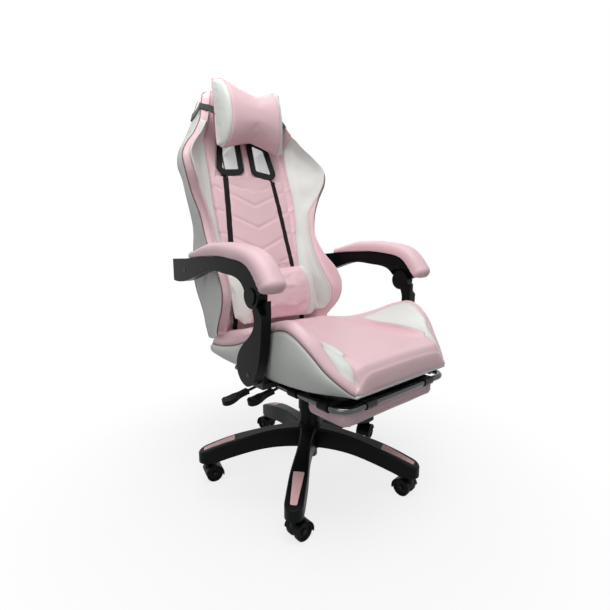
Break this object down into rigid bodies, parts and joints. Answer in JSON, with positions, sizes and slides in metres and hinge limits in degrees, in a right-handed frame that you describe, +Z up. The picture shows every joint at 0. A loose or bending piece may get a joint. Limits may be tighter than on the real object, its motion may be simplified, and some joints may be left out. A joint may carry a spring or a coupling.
{
  "type": "gaming chair",
  "caption": "Reclining desk chair with bucket seat, winged back, two pillows, linked armrests, slide-out footrest, gas lift and a five-star base on castors",
  "frame": {"origin": "on the floor, under the axis of the gas lift", "axes": "+Z up along the gas lift, -Y the way the sitter faces, +X the sitter's left"},
  "size_m": [0.6733, 0.8614, 1.2627],
  "materials": {
    "black_nylon": "moulded, fine grain",
    "castor_nylon": "moulded",
    "castor_tread": "moulded nylon wheel",
    "steel": "plain steel",
    "black_metal": "black powder coat",
    "lever_grip": "soft matt grip",
    "arm_plastic": "moulded, semi-matt",
    "chrome": "bright chrome plate",
    "black_webbing": "woven elastic",
    "pink_plastic": "moulded inlay",
    "board": "moulded board",
    "pink_leather": "coated artificial leather with white panels"
  },
  "bodies": {
    "base": {"base_star": "black_nylon", "leg_inlays": "pink_plastic", "column_tube": "black_metal", "column_sleeve": "black_nylon", "thrust_bearing": "steel", "cover_lower": "black_nylon"},
    "spindle": {"piston_rod": "steel"},
    "cover_slider": {"cover_middle": "black_nylon"},
    "seat": {"gas_cylinder": "steel", "cover_upper": "black_nylon", "seat_chassis": "black_metal", "seat_frame": "black_metal", "seat_webbing": "black_webbing", "seat_cushion": "pink_leather", "seat_bolster_left": "pink_leather", "seat_bolster_right": "pink_leather", "recliner_brackets": "black_metal", "arm_brackets": "black_metal", "footrest_guides": "black_nylon"},
    "height_lever": {"height_lever_rod": "black_metal", "height_lever_grip": "lever_grip"},
    "recline_lever": {"recline_lever_rod": "black_metal", "recline_lever_grip": "lever_grip"},
    "footrest_frame": {"footrest_tube": "chrome"},
    "footrest_flap": {"footrest_board": "board", "footrest_pad": "pink_leather", "footrest_clips": "black_metal"},
    "back": {"back_rear_panel": "pink_leather", "back_core": "pink_leather", "back_quilt": "pink_leather", "back_wing_left": "pink_leather", "back_wing_right": "pink_leather", "back_frame": "black_metal", "strap_bezels": "black_nylon", "head_pillow": "pink_leather", "head_strap": "black_webbing", "lumbar_pillow": "pink_leather"},
    "arm_link_left": {"arm_leg_left": "arm_plastic", "arm_pin_left": "black_nylon"},
    "arm_link_right": {"arm_leg_right": "arm_plastic", "arm_pin_right": "black_nylon"},
    "arm_left": {"arm_beam_left": "arm_plastic", "arm_pad_left": "pink_leather"},
    "arm_right": {"arm_beam_right": "arm_plastic", "arm_pad_right": "pink_leather"},
    "castor_1": {"castor_1_hood": "castor_nylon", "castor_1_pins": "steel"},
    "castor_1_roller": {"castor_1_wheels": "castor_tread"},
    "castor_2": {"castor_2_hood": "castor_nylon", "castor_2_pins": "steel"},
    "castor_2_roller": {"castor_2_wheels": "castor_tread"},
    "castor_3": {"castor_3_hood": "castor_nylon", "castor_3_pins": "steel"},
    "castor_3_roller": {"castor_3_wheels": "castor_tread"},
    "castor_4": {"castor_4_hood": "castor_nylon", "castor_4_pins": "steel"},
    "castor_4_roller": {"castor_4_wheels": "castor_tread"},
    "castor_5": {"castor_5_hood": "castor_nylon", "castor_5_pins": "steel"},
    "castor_5_roller": {"castor_5_wheels": "castor_tread"}
  },
  "joints": [
    {"name": "seat_swivel", "type": "hinge", "parent": "base", "child": "spindle", "pos_m": [0, 0, 0.068], "axis": [0, 0, 1], "continuous": true},
    {"name": "seat_lift", "type": "slide", "parent": "spindle", "child": "seat", "axis": [0, 0, 1], "range_m": [-0.055, 0.04]},
    {"name": "cover_slide", "type": "slide", "parent": "base", "child": "cover_slider", "axis": [0, 0, 1], "range_m": [-0.0275, 0.02]},
    {"name": "back_recline", "type": "hinge", "parent": "seat", "child": "back", "pos_m": [0, 0.241, 0.46], "axis": [-1, 0, 0], "range_deg": [0, 35]},
    {"name": "height_lever_pull", "type": "hinge", "parent": "seat", "child": "height_lever", "pos_m": [-0.062, -0.052, 0.356], "axis": [0, 1, 0], "range_deg": [0, 7], "stiffness_Nm_per_rad": 3, "springref_deg": -6.88},
    {"name": "recline_lever_pull", "type": "hinge", "parent": "seat", "child": "recline_lever", "pos_m": [-0.062, 0.012, 0.356], "axis": [0, 1, 0], "range_deg": [0, 7], "stiffness_Nm_per_rad": 3, "springref_deg": -6.88},
    {"name": "footrest_slide", "type": "slide", "parent": "seat", "child": "footrest_frame", "axis": [0, -1, 0], "range_m": [0, 0.24]},
    {"name": "footrest_flip", "type": "hinge", "parent": "footrest_frame", "child": "footrest_flap", "pos_m": [0, -0.346, 0.37], "axis": [-1, 0, 0], "range_deg": [0, 165]},
    {"name": "arm_link_left_turn", "type": "hinge", "parent": "seat", "child": "arm_link_left", "pos_m": [0.288, -0.112, 0.42], "axis": [-1, 0, 0], "range_deg": [0, 35]},
    {"name": "arm_left_turn", "type": "hinge", "parent": "arm_link_left", "child": "arm_left", "pos_m": [0.288, -0.131, 0.618], "axis": [-1, 0, 0], "range_deg": [-35, 0]},
    {"name": "arm_link_right_turn", "type": "hinge", "parent": "seat", "child": "arm_link_right", "pos_m": [-0.288, -0.112, 0.42], "axis": [-1, 0, 0], "range_deg": [0, 35]},
    {"name": "arm_right_turn", "type": "hinge", "parent": "arm_link_right", "child": "arm_right", "pos_m": [-0.288, -0.131, 0.618], "axis": [-1, 0, 0], "range_deg": [-35, 0]},
    {"name": "castor_1_swivel", "type": "hinge", "parent": "base", "child": "castor_1", "pos_m": [0.32334, 0.03284, 0.08], "axis": [0, 0, 1], "continuous": true},
    {"name": "castor_1_roll", "type": "hinge", "parent": "castor_1", "child": "castor_1_roller", "pos_m": [0.3083, 0.02737, 0.025], "axis": [0.342, -0.9397, 0], "continuous": true},
    {"name": "castor_2_swivel", "type": "hinge", "parent": "base", "child": "castor_2", "pos_m": [0.06868, 0.31766, 0.08], "axis": [0, 0, 1], "continuous": true},
    {"name": "castor_2_roll", "type": "hinge", "parent": "castor_2", "child": "castor_2_roller", "pos_m": [0.0659, 0.33342, 0.025], "axis": [-0.9848, -0.1736, 0], "continuous": true},
    {"name": "castor_3_swivel", "type": "hinge", "parent": "base", "child": "castor_3", "pos_m": [-0.28089, 0.16348, 0.08], "axis": [0, 0, 1], "continuous": true},
    {"name": "castor_3_roll", "type": "hinge", "parent": "castor_3", "child": "castor_3_roller", "pos_m": [-0.26543, 0.15934, 0.025], "axis": [0.2588, 0.9659, 0], "continuous": true},
    {"name": "castor_4_swivel", "type": "hinge", "parent": "base", "child": "castor_4", "pos_m": [-0.24228, -0.21662, 0.08], "axis": [0, 0, 1], "continuous": true},
    {"name": "castor_4_roll", "type": "hinge", "parent": "castor_4", "child": "castor_4_roller", "pos_m": [-0.22628, -0.21662, 0.025], "axis": [0, 1, 0], "continuous": true},
    {"name": "castor_5_swivel", "type": "hinge", "parent": "base", "child": "castor_5", "pos_m": [0.13115, -0.29736, 0.08], "axis": [0, 0, 1], "continuous": true},
    {"name": "castor_5_roll", "type": "hinge", "parent": "castor_5", "child": "castor_5_roller", "pos_m": [0.12976, -0.28142, 0.025], "axis": [-0.9962, -0.0872, 0], "continuous": true}
  ],
  "couplings": [
    {"joint": "cover_slide", "follows": "seat_lift", "ratio": 0.5},
    {"joint": "arm_link_left_turn", "follows": "back_recline", "ratio": 1},
    {"joint": "arm_left_turn", "follows": "back_recline", "ratio": -1},
    {"joint": "arm_link_right_turn", "follows": "back_recline", "ratio": 1},
    {"joint": "arm_right_turn", "follows": "back_recline", "ratio": -1}
  ]
}
